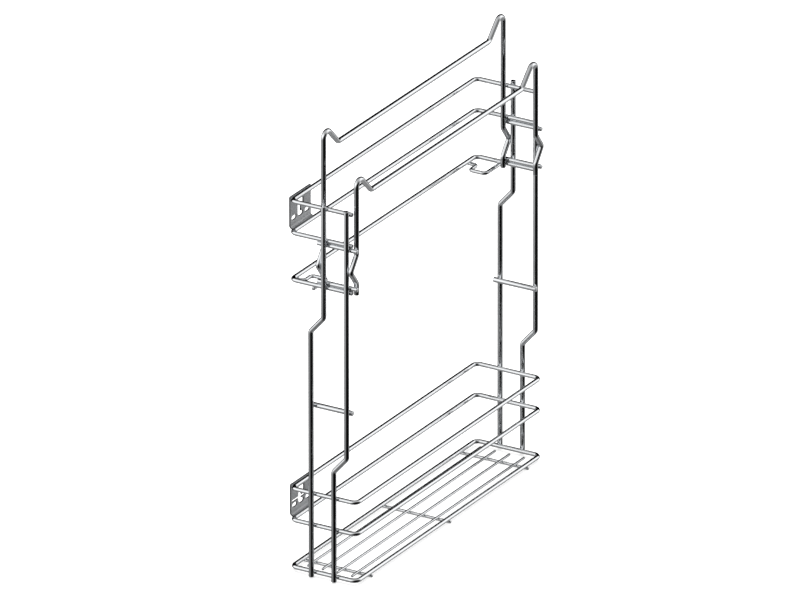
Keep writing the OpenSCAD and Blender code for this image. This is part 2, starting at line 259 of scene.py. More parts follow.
def draw_wire(node, path, diameter, radii=(), soft=(True, True), closed=False):
    """Draws a wire out of one circle, through the points of a path, bent at each corner."""
    points = [Vector(point) for point in path]
    headings = [(b - a).normalized() for a, b in zip(points, points[1:])]
    bends = [u.angle(v) for u, v in zip(headings, headings[1:])]
    cuts = [0.0] + [r * math.tan(bend / 2) for r, bend in zip(radii, bends)] + [0.0]
    piece = add_circle(diameter / 2, points[0], headings[0])
    start_editing()
    bpy.ops.mesh.select_all(action="SELECT")
    for i, heading in enumerate(headings):
        run = (points[i + 1] - points[i]).length - cuts[i] - cuts[i + 1]
        push_edges(heading * run)
        if i < len(bends):
            axis = heading.cross(headings[i + 1]).normalized()
            start = points[i + 1] - heading * cuts[i + 1]
            turn_edges(start + axis.cross(heading) * radii[i], axis, bends[i])
    bpy.ops.mesh.select_all(action="SELECT")
    if closed:
        bpy.ops.mesh.remove_doubles(threshold=TOUCH)
    else:
        bpy.ops.mesh.fill_holes(sides=0)
        soften_ends(piece, [p for p, is_soft in zip((points[0], points[-1]), soft) if is_soft])
    point_outwards()
    clear_selection()
    name_piece(piece, node)
    return piece


def soften_ends(piece, ends):
    """Rounds the rims of a wire's sheared ends, in edit mode."""
    if not ends:
        return
    bpy.ops.mesh.select_mode(type="FACE")
    choose(piece, "faces", lambda face: len(face.verts) == SIDES and any(
        (face.calc_center_median() - end).length < TOUCH for end in ends))
    softness = bpy.context.scene.wire_insert_wires.end_softness
    bpy.ops.mesh.bevel(offset=softness, segments=RIM_STEPS, affect="EDGES")


def name_piece(piece, node):
    """Names a piece, and its mesh, after the node that it stands for."""
    piece.name = piece.data.name = f"{node}_{'sheet' if 'plate' in node else 'wire'}"


def copy_piece(source, node, shift=(0, 0, 0), mirrored=False):
    """Copies a piece with its own mesh, moved, and mirrored front to back if asked."""
    pick(source)
    bpy.ops.object.duplicate()
    piece = bpy.context.object
    piece.location = shift
    piece.scale.y = -1 if mirrored else 1
    fix_in_place(piece)
    if mirrored:
        start_editing()
        point_outwards()
        clear_selection()
    name_piece(piece, node)
    return piece


def copy_along(source, nodes):
    """Copies the first node's wire to the others, each moved as its node lies."""
    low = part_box(nodes[0])[0]
    copies = [copy_piece(source, node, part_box(node)[0] - low) for node in nodes[1:]]
    return dict(zip(nodes, [source] + copies))


def finish_piece(piece, material, body, nodes=()):
    """Shades a piece, gives it its material and its body, and hides the nodes it stands for."""
    pick(piece)
    bpy.ops.object.shade_smooth_by_angle(angle=SMOOTH_ANGLE)
    piece.data.materials.clear()
    piece.data.materials.append(material)
    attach(piece, body)
    if nodes:
        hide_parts(*nodes)


def plate_with_chrome(wires):
    """Finishes the wires of some nodes in bright chrome."""
    for node, piece in wires.items():
        finish_piece(piece, bright_chrome(), BODY_OF[node], (node,))


def middle(node):
    """The middle of a node's box."""
    low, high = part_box(node)
    return (low + high) / 2


def thickness(node, axis):
    """A node's size along an axis: 0 for X, 1 for Y, 2 for Z."""
    low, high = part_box(node)
    return high[axis] - low[axis]


def draw_rod(node, along, ends=(True, True)):
    """Draws a straight wire over its node's box, along an axis."""
    low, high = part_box(node)
    start, end = middle(node), middle(node)
    start[along], end[along] = low[along], high[along]
    return draw_wire(node, (start, end), thickness(node, (along + 1) % 3), soft=ends)


# Wires of the frame

def upright_path(node, foot_z):
    """An upright's path: straight up, one joggle to the right, and straight up again."""
    low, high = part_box(node)
    radius = (high.y - low.y) / 2
    y = (low.y + high.y) / 2
    slant_angle = bpy.context.scene.wire_insert_wires.joggle_slant
    low_x, high_x = low.x + radius, high.x - radius
    head_z = foot_z + (high_x - low_x) / math.tan(slant_angle)
    return [(low_x, y, low.z), (low_x, y, foot_z), (high_x, y, head_z), (high_x, y, high.z)]


def joggle_feet():
    """Heights at which the left and the right uprights' joggles start."""
    wires = bpy.context.scene.wire_insert_wires
    shift = thickness("upright_front_left", 0) - thickness("upright_front_left", 1)
    left = middle("guard_wire_bottom").z - wires.left_joggle_drop - shift / math.tan(
        wires.joggle_slant)
    return {"left": left, "right": middle("basket_rim_ring").z + wires.right_joggle_lift}


def draw_uprights():
    """Draws the left and the right uprights, each pair from one wire."""
    wires = bpy.context.scene.wire_insert_wires
    for side, foot_z in joggle_feet().items():
        nodes = [f"upright_{end}_{side}" for end in ENDS]
        source = draw_wire(nodes[0], upright_path(nodes[0], foot_z), thickness(nodes[0], 1),
                           [wires.joggle_r] * 2)
        plate_with_chrome(copy_along(source, nodes))


def draw_braces():
    """Draws the straight wires between the uprights at mid height."""
    nodes = [f"brace_{end}" for end in ENDS]
    plate_with_chrome(copy_along(draw_rod(nodes[0], 0), nodes))


def draw_rings():
    """Draws the basket's closed rings, each from the middle of its front wire and round."""
    low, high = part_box(RING_NODES[0])
    diameter = high.z - low.z
    inset = Vector((diameter / 2, diameter / 2, 0))
    x0, y0, _ = low + inset
    x1, y1, _ = high - inset
    x, z = (x0 + x1) / 2, (low.z + high.z) / 2
    path = [(x, y0, z), (x1, y0, z), (x1, y1, z), (x0, y1, z), (x0, y0, z), (x, y0, z)]
    radii = [bpy.context.scene.wire_insert_wires.corner_r] * 4
    ring = draw_wire(RING_NODES[0], path, diameter, radii, closed=True)
    plate_with_chrome(copy_along(ring, RING_NODES))


def draw_base_wires():
    """Draws the wires across the base and the thin ones along it."""
    plate_with_chrome(copy_along(draw_rod(CROSS_NODES[0], 0), CROSS_NODES))
    plate_with_chrome(copy_along(draw_rod(LONG_NODES[0], 1), LONG_NODES))


def draw_guard_wires():
    """Draws the three-sided guard wires, open on the right."""
    low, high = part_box(GUARD_NODES[0])
    radius = (high.z - low.z) / 2
    x0, y0, y1, z = low.x + radius, low.y + radius, high.y - radius, (low.z + high.z) / 2
    path = [(high.x, y0, z), (x0, y0, z), (x0, y1, z), (high.x, y1, z)]
    radii = [bpy.context.scene.wire_insert_wires.corner_r] * 2
    guard = draw_wire(GUARD_NODES[0], path, 2 * radius, radii)
    plate_with_chrome(copy_along(guard, GUARD_NODES))


def hook_path():
    """The front hook wire's path: in over the long wire, along, in again and out at the front."""
    wires = bpy.context.scene.wire_insert_wires
    low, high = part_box("hook_wire_front")
    radius = (high.z - low.z) / 2
    end_x, far_y, z = high.x - radius, high.y - radius, (low.z + high.z) / 2
    crank_x, near_y = end_x - wires.hook_reach, far_y - wires.hook_step
    return [(low.x, near_y, z), (crank_x, near_y, z), (crank_x, far_y, z), (end_x, far_y, z),
            (end_x, low.y, z)]


def draw_hook_wires():
    """Draws the front hook wire, and the back one as its mirror image."""
    front, back = (f"hook_wire_{end}" for end in ENDS)
    radii = [bpy.context.scene.wire_insert_wires.hook_r] * 3
    hook = draw_wire(front, hook_path(), thickness(front, 2), radii)
    plate_with_chrome({front: hook, back: copy_piece(hook, back, mirrored=True)})


# Mounting plates

def punch_slot(piece, place, width, run):
    """Punches a round-ended slot through a plate, along Y."""
    depth = PUNCH_REACH * bpy.context.scene.wire_insert_plates.thickness
    clear_selection()
    turn = Matrix.Rotation(math.pi / 2, 4, "Y") @ Matrix.Rotation(math.pi / SIDES, 4, "Z")
    bpy.ops.mesh.primitive_circle_add(vertices=SIDES, radius=width / 2, fill_type="NGON",
                                      location=place - Vector((depth / 2, 0, 0)),
                                      rotation=turn.to_euler())
    punch = bpy.context.object
    fix_in_place(punch)
    start_editing()
    for side in (-1, 1):
        choose(punch, "verts", lambda vert: (vert.co.y - place.y) * side > 0)
        bpy.ops.transform.translate(value=(0, side * (run - width) / 2, 0))
    bpy.ops.mesh.select_all(action="SELECT")
    bpy.ops.mesh.extrude_region_move(TRANSFORM_OT_translate={"value": (depth, 0, 0)})
    point_outwards()
    cut_away(piece, punch)


def punch_window(piece, x, y_span, z_span):
    """Punches a window with softly rounded corners through a plate."""
    plates = bpy.context.scene.wire_insert_plates
    clear_selection()
    bpy.ops.mesh.primitive_cube_add(size=1, location=(x, sum(y_span) / 2, sum(z_span) / 2))
    punch = bpy.context.object
    punch.scale = (PUNCH_REACH * plates.thickness, y_span[1] - y_span[0], z_span[1] - z_span[0])
    fix_in_place(punch)
    start_editing("EDGE")
    choose(punch, "edges", runs_through)
    bpy.ops.mesh.bevel(offset=plates.punch_r, segments=CORNER_STEPS, affect="EDGES")
    point_outwards()
    cut_away(piece, punch)


def runs_through(edge):
    """Whether an edge runs straight through the sheet, along X."""
    run = edge.verts[0].co - edge.verts[1].co
    return abs(run.y) < TOUCH and abs(run.z) < TOUCH


def apply_modifier(piece, kind, **settings):
    """Adds a modifier with its settings, and applies it."""
    pick(piece)
    modifier = piece.modifiers.new(kind.title(), kind)
    for name, value in settings.items():
        setattr(modifier, name, value)
    bpy.ops.object.modifier_apply(modifier=modifier.name)


def cut_away(piece, punch):
    """Takes a punch's shape out of a piece, and removes the punch."""
    corners = len(piece.data.vertices)
    apply_modifier(piece, "BOOLEAN", operation="DIFFERENCE", solver="EXACT", object=punch)
    bpy.data.objects.remove(punch)
    if len(piece.data.vertices) == corners:
        raise RuntimeError("a punch missed its sheet")


def press_plate(node, upper_z, has_slit):
    """Makes a plate: bent, punched, with soft edges, and with its finishes."""
    plates = bpy.context.scene.wire_insert_plates
    low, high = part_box(node)
    bend_z = low.z + plates.bend_r + plates.thickness
    piece = bend_sheet(low, high, bend_z)
    round_plate_corners(piece, low, high)
    punch_plate(piece, low, high, upper_z, has_slit)
    apply_modifier(piece, "BEVEL", width=plates.edge_softness, segments=EDGE_STEPS,
                   limit_method="ANGLE", angle_limit=SMOOTH_ANGLE)
    name_piece(piece, node)
    finish_piece(piece, zinc_plated_sheet(), BODY_OF[node], (node,))
    darken_cut_edges(piece, bend_z, high.x - plates.edge_softness)


def bend_sheet(low, high, bend_z):
    """Bends a flat sheet in at its foot, and gives it its thickness."""
    plates = bpy.context.scene.wire_insert_plates
    outer_r = plates.bend_r + plates.thickness
    y = (low.y + high.y) / 2
    clear_selection()
    bpy.ops.mesh.primitive_plane_add(size=1, location=(low.x, y, (bend_z + high.z) / 2),
                                     rotation=(0, math.pi / 2, 0))
    piece = bpy.context.object
    piece.scale = (high.z - bend_z, high.y - low.y, 1)
    fix_in_place(piece)
    start_editing("EDGE")
    choose(piece, "edges", lambda edge: all(v.co.z < bend_z + TOUCH for v in edge.verts))
    turn_edges((low.x + outer_r, y, bend_z), (0, -1, 0), math.pi / 2)
    push_edges((high.x - low.x - outer_r, 0, 0))
    point_outwards()
    clear_selection()
    inwards = 1 if piece.data.polygons[0].normal.x > 0 else -1
    apply_modifier(piece, "SOLIDIFY", thickness=plates.thickness, offset=inwards,
                   use_even_offset=True)
    return piece


def punch_plate(piece, low, high, upper_z, has_slit):
    """Punches the fixing slots, the hanging window with its neck, and the slit."""
    plates = bpy.context.scene.wire_insert_plates
    middle_x, y = low.x + plates.thickness / 2, (low.y + high.y) / 2
    slot_z = upper_z - plates.slot_drop
    for place in (-1, 0, 1):
        punch_slot(piece, Vector((middle_x, y + place * plates.slot_pitch, slot_z)),
                   plates.slot_w, plates.slot_l)
    window_y, window_z = y - plates.window_w / 2, upper_z - plates.window_drop
    punch_window(piece, middle_x, (window_y, window_y + plates.window_w),
                 (window_z - plates.window_h, window_z))
    punch_window(piece, middle_x, (window_y, window_y + plates.neck_w),
                 (slot_z, window_z - plates.window_h / 2))
    if has_slit:
        slit_y, slit_z = low.y + plates.slit_web, upper_z - plates.slit_drop
        punch_window(piece, middle_x, (slit_y, slit_y + plates.slit_l),
                     (slit_z - plates.slit_h / 2, slit_z + plates.slit_h / 2))


def darken_cut_edges(piece, bend_z, foot_end):
    """Gives the sheared and punched faces of a plate a near-black finish: bare steel, darkened by
    painted shade that outlines the plate.
    """

    def is_cut(face):
        place, normal = face.calc_center_median(), face.normal
        if place.z > bend_z:
            return abs(normal.x) < CUT_SLANT
        at_end = place.x > foot_end
        return abs(normal.y) > CUT_SLANT or (at_end and abs(normal.z) < CUT_SLANT)

    # The cut faces get a near-black finish, whose darkness is painted shade
    piece.data.materials.append(sheared_edge_with_painted_shade())
    start_editing("FACE")
    choose(piece, "faces", is_cut)
    piece.active_material_index = 1
    bpy.ops.object.material_slot_assign()
    clear_selection()


def round_plate_corners(piece, low, high):
    """Rounds the two top corners of a plate, and the two of its foot."""
    start_editing("EDGE")

    def at_corner(edge):
        ends = [vert.co for vert in edge.verts]
        across = abs(ends[0].y - ends[1].y) < TOUCH
        on_top = all(abs(v.z - high.z) < TOUCH for v in ends)
        at_foot = all(abs(v.x - high.x) < TOUCH for v in ends)
        return across and (on_top or at_foot)

    choose(piece, "edges", at_corner)
    corner_r = bpy.context.scene.wire_insert_plates.corner_r
    bpy.ops.mesh.bevel(offset=corner_r, segments=CORNER_STEPS, affect="EDGES")
    clear_selection()


# Towel rail unit

def draw_towel_rails():
    """Draws the two rails, each with its arms and horns, down to where its legs begin."""
    wires = bpy.context.scene.wire_insert_wires
    arm_rise = wires.horn_run * math.tan(wires.arm_slope)
    half_turn = (math.pi / 2 + wires.arm_slope) / 2
    for node in ("towel_rail_high", "towel_rail_low"):
        low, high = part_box(node)
        radius = (high.x - low.x) / 2
        x, y0, y1 = (low.x + high.x) / 2, low.y + radius, high.y - radius
        corner_z = high.z - radius + wires.horn_r * (math.tan(half_turn) - 1)
        rail_z = corner_z - arm_rise
        path = [(x, y0, low.z), (x, y0, corner_z), (x, y0 + wires.horn_run, rail_z),
                (x, y1 - wires.horn_run, rail_z), (x, y1, corner_z), (x, y1, low.z)]
        radii = [wires.horn_r, wires.valley_r, wires.valley_r, wires.horn_r]
        rail = draw_wire(node, path, 2 * radius, radii, soft=(False, False))
        plate_with_chrome({node: rail})


def draw_spring_legs():
    """Draws the kinked legs. Their upper ends meet the rails face to face."""
    wires = bpy.context.scene.wire_insert_wires
    source = "spring_leg_front_high"
    low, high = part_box(source)
    radius = (high.x - low.x) / 2
    x, leg_y, kink_y = (low.x + high.x) / 2, high.y - radius, low.y + radius
    kink_rise = (leg_y - kink_y) / math.tan(wires.kink_slant)
    foot_z = middle("rail_bar_front_lower").z + wires.kink_lift
    top_z = foot_z + 2 * kink_rise + wires.kink_flat
    path = [(x, leg_y, low.z), (x, leg_y, foot_z), (x, kink_y, foot_z + kink_rise),
            (x, kink_y, top_z - kink_rise), (x, leg_y, top_z), (x, leg_y, high.z)]
    radii = [wires.kink_r, wires.kink_top_r, wires.kink_top_r, wires.kink_r]
    leg = draw_wire(source, path, 2 * radius, radii, soft=(True, False))
    fronts = copy_along(leg, [source, "spring_leg_front_low"])
    backs = {node.replace("front", "back"): copy_piece(piece, node.replace("front", "back"),
                                                       mirrored=True)
             for node, piece in fronts.items()}
    plate_with_chrome(fronts | backs)


def draw_rail_bars():
    """Draws the four bars that join the legs of the towel rail unit."""
    nodes = [f"rail_bar_{end}_{level}" for end in ENDS for level in ("upper", "lower")]
    plate_with_chrome(copy_along(draw_rod(nodes[0], 0), nodes))


# Welds

def weld_neck(axis, thinner):
    """Draws the neck of metal that a spot weld leaves between two wires, square to an axis."""
    axis = Vector(axis)
    depth = NECK_DEPTH * thinner
    start = -axis * depth
    neck = add_circle(NECK_RIM * thinner, start, axis, vertices=NECK_SIDES)
    start_editing()
    bpy.ops.mesh.select_all(action="SELECT")
    for part, scale in NECK_STEPS:
        start = start + axis * part * depth
        push_edges(axis * part * depth)
        bpy.ops.transform.resize(value=(scale, scale, scale), center_override=start)
    bpy.ops.mesh.select_all(action="SELECT")
    bpy.ops.mesh.fill_holes(sides=0)
    point_outwards()
    clear_selection()
    return neck


def join_welds(name, body, spots):
    """Copies a neck of each kind to its spots, and joins those of one body into one piece."""
    kinds = {spot[1:] for spot in spots}
    drawn = {kind: weld_neck(*kind) for kind in kinds}
    necks = [copy_piece(drawn[spot[1:]], name, spot[0]) for spot in spots]
    for neck in drawn.values():
        bpy.data.objects.remove(neck)
    clear_selection()
    for neck in necks:
        neck.select_set(True)
    bpy.context.view_layer.objects.active = necks[0]
    bpy.ops.object.join()
    piece = bpy.context.object
    piece.name = piece.data.name = name
    finish_piece(piece, plated_weld(), body)


def ring_lines():
    """Middles of the rings' left and right wires along X, and of their front wire along Y."""
    low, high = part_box(RING_NODES[0])
    radius = (high.z - low.z) / 2
    return low.x + radius, high.x - radius, low.y + radius


def frame_weld_spots():
    """Every spot where the frame's wires and plates are welded: its place, axis and wire."""
    return [*upright_weld_spots(), *hook_weld_spots(), *base_weld_spots(), *plate_weld_spots()]


def upright_weld_spots():
    """Spots where the rings, the guard wires and the braces meet the uprights."""
    spots = []
    ring_d = thickness(RING_NODES[0], 2)
    weld_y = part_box("upright_back_left")[0].y + WELD_SINK / 2
    for side in SIDE_NAMES:
        low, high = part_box(f"upright_front_{side}")
        radius = (high.y - low.y) / 2
        low_x, high_x = low.x + radius, high.x - radius
        brace_x = low_x if side == "left" else high_x
        for y in (-weld_y, weld_y):
            spots += [((low_x, y, middle(node).z), Y_AXIS, ring_d) for node in RING_NODES]
            spots += [((high_x, y, middle(node).z), Y_AXIS, ring_d) for node in GUARD_NODES]
            spots.append(((brace_x, y, middle("brace_front").z), Y_AXIS, ring_d))
    return spots


def hook_weld_spots():
    """Spots where both ends of each hook wire meet the lowest guard wire, from below."""
    left_x, _, front_y = ring_lines()
    hook_d = thickness("hook_wire_front", 2)
    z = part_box("hook_wire_front")[1].z - WELD_SINK / 2
    start, *_, end = hook_path()
    spots = []
    for facing in (1, -1):
        spots.append(((left_x, facing * start[1], z), Z_AXIS, hook_d))
        spots.append(((end[0], facing * front_y, z), Z_AXIS, hook_d))
    return spots


def base_weld_spots():
    """Spots where the cross wires meet the base ring and the long wires, from below."""
    left_x, right_x, _ = ring_lines()
    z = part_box(CROSS_NODES[0])[1].z - WELD_SINK / 2
    long_d = thickness(LONG_NODES[0], 2)
    spots = []
    for cross in CROSS_NODES:
        y = middle(cross).y
        spots += [((x, y, z), Z_AXIS, thickness(cross, 2)) for x in (left_x, right_x)]
        spots += [((middle(node).x, y, z), Z_AXIS, long_d) for node in LONG_NODES]
    return spots


def plate_weld_spots():
    """Spots where each plate meets the wire behind its face and the wire under its foot."""
    left_x = ring_lines()[0]
    face_x = left_x - thickness(RING_NODES[0], 2) / 2 + WELD_SINK / 2
    # These necks are as big as a hook wire's
    weld_d = thickness("hook_wire_front", 2)
    spots = []
    for plate, upper in PLATES:
        low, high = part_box(plate)
        quarter = (high.y - low.y) / 4
        for y in (low.y + quarter, high.y - quarter):
            spots.append(((face_x, y, middle(upper).z), X_AXIS, weld_d))
            spots.append(((left_x, y, low.z + WELD_SINK / 2), Z_AXIS, weld_d))
    return spots


def unit_weld_spots():
    """Every spot where a rail bar is welded to a leg: its place, axis and wire."""
    spots = []
    for level in ("upper", "lower"):
        bar = f"rail_bar_front_{level}"
        low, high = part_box(bar)
        weld_y = high.y - WELD_SINK / 2
        for leg in ("high", "low"):
            x = middle(f"spring_leg_front_{leg}").x
            spots += [((x, y, middle(bar).z), Y_AXIS, high.y - low.y) for y in (weld_y, -weld_y)]
    return spots


# Materials

# Span in which most of a noise texture's values lie
NOISE_LOW, NOISE_HIGH = 0.3, 0.7


def add_node(tree, kind, settings=None, links=None):
    """Adds a node with its settings, whose keys are attributes or inputs, and its links."""
    node = tree.nodes.new(kind)
    for key, value in (settings or {}).items():
        if isinstance(key, str) and hasattr(node, key):
            setattr(node, key, value)
        else:
            node.inputs[key].default_value = value
    for key, output in (links or {}).items():
        tree.links.new(output, node.inputs[key])
    return node


def new_tree(data):
    """Empties the node tree of a material or world."""
    data.use_nodes = True
    data.node_tree.nodes.clear()
    return data.node_tree


def opaque(rgb):
    """A colour with full alpha."""
    return (*rgb, 1.0)


def kept_material(name, build):
    """The material of that name, built when it is first asked for."""
    material = bpy.data.materials.get(name)
    if material is None:
        material = bpy.data.materials.new(name)
        build(new_tree(material))
    return material


def surface(tree, shader):
    """Links a shader to the tree's output."""
    add_node(tree, "ShaderNodeOutputMaterial", links={"Surface": shader.outputs[0]})


def bright_chrome():
    """Bright chrome over polished nickel, on drawn steel wire."""

    def build(tree):
        # A mirror with a faint cool tint. The plating waves a little along the wire, every
        # 9 mm or so, and handling leaves a haze in patches of about 30 mm
        place = add_node(tree, "ShaderNodeTexCoord").outputs["Object"]
        waves = add_node(tree, "ShaderNodeTexNoise", {"Scale": 1 / (9 * MM), "Detail": 1.0},
                         {"Vector": place})
        haze = add_node(tree, "ShaderNodeTexNoise", {"Scale": 1 / (30 * MM), "Detail": 3.0},
                        {"Vector": place})
        rough = add_node(tree, "ShaderNodeMapRange", {
            "From Min": NOISE_LOW, "From Max": NOISE_HIGH, "To Min": 0.03,
            "To Max": 0.09}, {"Value": haze.outputs["Fac"]})
        bump = add_node(tree, "ShaderNodeBump", {"Strength": 1.0, "Distance": 0.015 * MM},
                        {"Height": waves.outputs["Fac"]})
        chrome = bpy.context.scene.wire_insert_colours.chrome
        surface(tree, add_node(tree, "ShaderNodeBsdfPrincipled", {
            "Base Color": opaque(chrome), "Metallic": 1.0},
            {"Roughness": rough.outputs["Result"], "Normal": bump.outputs["Normal"]}))

    return kept_material("bright chrome plated wire", build)


def plated_weld():
    """Chrome plating over the squeezed metal of a spot weld."""

    def build(tree):
        # The weld's skin is rougher than the wire's, with grains of about 0.8 mm
        place = add_node(tree, "ShaderNodeTexCoord").outputs["Object"]
        grains = add_node(tree, "ShaderNodeTexNoise", {"Scale": 1 / (0.8 * MM), "Detail": 2.0},
                          {"Vector": place})
        bump = add_node(tree, "ShaderNodeBump", {"Strength": 1.0, "Distance": 0.03 * MM},
                        {"Height": grains.outputs["Fac"]})
        weld = bpy.context.scene.wire_insert_colours.weld
        surface(tree, add_node(tree, "ShaderNodeBsdfPrincipled", {
            "Base Color": opaque(weld), "Metallic": 1.0, "Roughness": 0.24},
            {"Normal": bump.outputs["Normal"]}))

    return kept_material("chrome plated spot weld", build)


def zinc_plated_sheet():
    """Dull zinc plating on cold-rolled steel sheet."""

    def build(tree):
        # Dull grey metal whose fine crystals scatter half of the light, so that the foot, which
        # reflects the ceiling, isn't darker than the face. It is clouded over about 14 mm, with a
        # rolled grain along the sheet. Real grain is some 0.05 mm wide, and is drawn 0.5 mm wide
        colours = bpy.context.scene.wire_insert_colours
        place = add_node(tree, "ShaderNodeTexCoord").outputs["Object"]
        clouds = add_node(tree, "ShaderNodeTexNoise", {"Scale": 1 / (14 * MM), "Detail": 3.0},
                          {"Vector": place})
        tint = add_node(tree, "ShaderNodeMix", {
            "data_type": "RGBA", 6: opaque(colours.zinc_dark), 7: opaque(colours.zinc_light)},
            {0: clouds.outputs["Fac"]})
        along = add_node(tree, "ShaderNodeMapping", {
            "Scale": (1 / (0.5 * MM), 1 / (16 * MM), 1 / (0.5 * MM))}, {"Vector": place})
        grain = add_node(tree, "ShaderNodeTexNoise", {"Scale": 1.0, "Detail": 2.0},
                         {"Vector": along.outputs["Vector"]})
        rough = add_node(tree, "ShaderNodeMapRange", {
            "From Min": NOISE_LOW, "From Max": NOISE_HIGH, "To Min": 0.42,
            "To Max": 0.5}, {"Value": grain.outputs["Fac"]})
        bump = add_node(tree, "ShaderNodeBump", {"Strength": 1.0, "Distance": 0.008 * MM},
                        {"Height": grain.outputs["Fac"]})
        surface(tree, add_node(tree, "ShaderNodeBsdfPrincipled", {"Metallic": 0.5}, {
            "Base Color": tint.outputs[2], "Roughness": rough.outputs["Result"],
            "Normal": bump.outputs["Normal"]}))

    return kept_material("zinc plated sheet steel", build)


def sheared_edge_with_painted_shade():
    """Edge of the sheet where it was sheared or punched after plating, made near black by painted
    shade.
    """

    def build(tree):
        # Bare steel, dull, darkened to near black by painted shade, with drag marks through the
        # sheet about 0.4 mm apart, twice as coarse as real ones
        place = add_node(tree, "ShaderNodeTexCoord").outputs["Object"]
        along = add_node(tree, "ShaderNodeMapping", {
            "Scale": (1 / (6 * MM), 1 / (0.4 * MM), 1 / (0.4 * MM))}, {"Vector": place})
        drag = add_node(tree, "ShaderNodeTexNoise", {"Scale": 1.0, "Detail": 1.0},
                        {"Vector": along.outputs["Vector"]})
        bump = add_node(tree, "ShaderNodeBump", {"Strength": 1.0, "Distance": 0.02 * MM},
                        {"Height": drag.outputs["Fac"]})
        # Near-black colour: bare steel plus painted shade along the plate's edges
        edge = bpy.context.scene.wire_insert_colours.cut_edge_and_shade
        surface(tree, add_node(tree, "ShaderNodeBsdfPrincipled", {
            "Base Color": opaque(edge), "Metallic": 1.0, "Roughness": 0.35},
            {"Normal": bump.outputs["Normal"]}))

    return kept_material("sheared steel edge", build)


def studio_board():
    """Matte white board under the insert."""

    def build(tree):
        # Dead matt. It glows a little towards the camera, so that it is white round the shadow
        board = bpy.context.scene.wire_insert_colours.board
        path = add_node(tree, "ShaderNodeLightPath")
        seen = add_node(tree, "ShaderNodeMath", {"operation": "MULTIPLY", 1: BOARD_GLOW},
                        {0: seen_directly(tree, path)})
        surface(tree, add_node(tree, "ShaderNodeBsdfPrincipled", {
            "Base Color": opaque(board), "Roughness": 1.0, "Specular IOR Level": 0.0,
            "Emission Color": (1, 1, 1, 1)}, {"Emission Strength": seen.outputs[0]}))

    return kept_material("matte white studio board", build)


def seen_directly(tree, path):
    """Whether a ray comes from the camera, or passes through something clear."""
    return add_node(tree, "ShaderNodeMath", {"operation": "MAXIMUM"}, {
        0: path.outputs["Is Camera Ray"], 1: path.outputs["Is Transmission Ray"]}).outputs[0]


# Stage

IMAGE_WIDTH = 800
SENSOR_WIDTH = 36.0
# The view is nearly parallel, so the camera stands far off with a long lens
CAMERA_AZIMUTH = math.radians(30.6124)
CAMERA_ELEVATION = math.radians(23.4094)
CAMERA_ROLL = math.radians(-0.051)
CAMERA_DISTANCE = 34.0
CAMERA_REACH = 100.0
PIXELS_PER_METRE = 771.16
# The point that the view is measured from, and the picture's middle, right and up from it
VIEW_POINT = Vector((0.6, 0, 286.75)) * MM
AIM_RIGHT = -21.222 * MM
AIM_UP = 17.0 * MM

# Light that falls on matt surfaces from all round, and from the wide lamp straight overhead
ROOM_LIGHT = 0.45
LAMP_STRENGTH = 1.75
LAMP_WIDTH = math.radians(50)
# The floor: its radius, its sides, and the part of full white that it adds towards the camera
FLOOR_RADIUS = 3.0
FLOOR_SIDES = 64
BOARD_GLOW = 0.62

# What bright metal reflects, by height: the sine of a direction's elevation and the brightness
# there, from a grey floor with a darker far edge, through white walls, to a grey ceiling
ROOM_LEVELS = ((-0.95, 0.26), (-0.70, 0.23), (-0.40, 0.28), (-0.15, 0.79), (0.05, 1.15),
               (0.60, 1.15), (0.85, 0.51))
# Dark screens that draw black lines along the wires, and one pale one. Each has its middle's turn
# from +X and its elevation, the angles from there at which it is full and at which it ends, and
# its darkness, which is below zero for the pale one
SCREENS = ((-26.8, -9.8, 33.9, 78.8, 0.995),
           (-81.1, -15.9, 2.2, 44.2, 0.581),
           (129.5, 7.4, 50.0, 64.1, 0.999),
           (75.9, -36.2, 4.1, 45.5, -0.284))


def place_camera():
    """Places the camera at the photograph's viewing angle."""
    sin_a, cos_a = math.sin(CAMERA_AZIMUTH), math.cos(CAMERA_AZIMUTH)
    sin_e, cos_e = math.sin(CAMERA_ELEVATION), math.cos(CAMERA_ELEVATION)
    back = Vector((sin_a * cos_e, -cos_a * cos_e, sin_e))
    level = Vector((cos_a, sin_a, 0))
    right = Matrix.Rotation(CAMERA_ROLL, 3, back) @ level
    up = back.cross(right)
    place = VIEW_POINT + right * AIM_RIGHT + up * AIM_UP + back * CAMERA_DISTANCE
    clear_selection()
    bpy.ops.object.camera_add()
    camera = bpy.context.object
    camera.name = "view"
    camera.data.sensor_width = SENSOR_WIDTH
    camera.data.lens = PIXELS_PER_METRE * CAMERA_DISTANCE * SENSOR_WIDTH / IMAGE_WIDTH
    camera.data.clip_end = CAMERA_REACH
    turn = Matrix((right, up, back)).transposed().to_4x4()
    camera.matrix_world = Matrix.Translation(place) @ turn
    bpy.context.scene.camera = camera


def lay_floor():
    """Lays the board that the insert stands on. Metal reflects the room's own floor."""
    floor = add_circle(FLOOR_RADIUS, (0, 0, CAD_BOX[0][2]), Z_AXIS, FLOOR_SIDES, "NGON")
    floor.name = floor.data.name = "studio_floor"
    floor.data.materials.append(studio_board())
    floor.visible_glossy = False


def hang_lamp():
    """Hangs the wide lamp. It lights matt surfaces alone, as metal reflects the room."""
    clear_selection()
    bpy.ops.object.light_add(type="SUN")
    lamp = bpy.context.object
    lamp.data.energy = LAMP_STRENGTH
    lamp.data.angle = LAMP_WIDTH
    lamp.visible_glossy = False


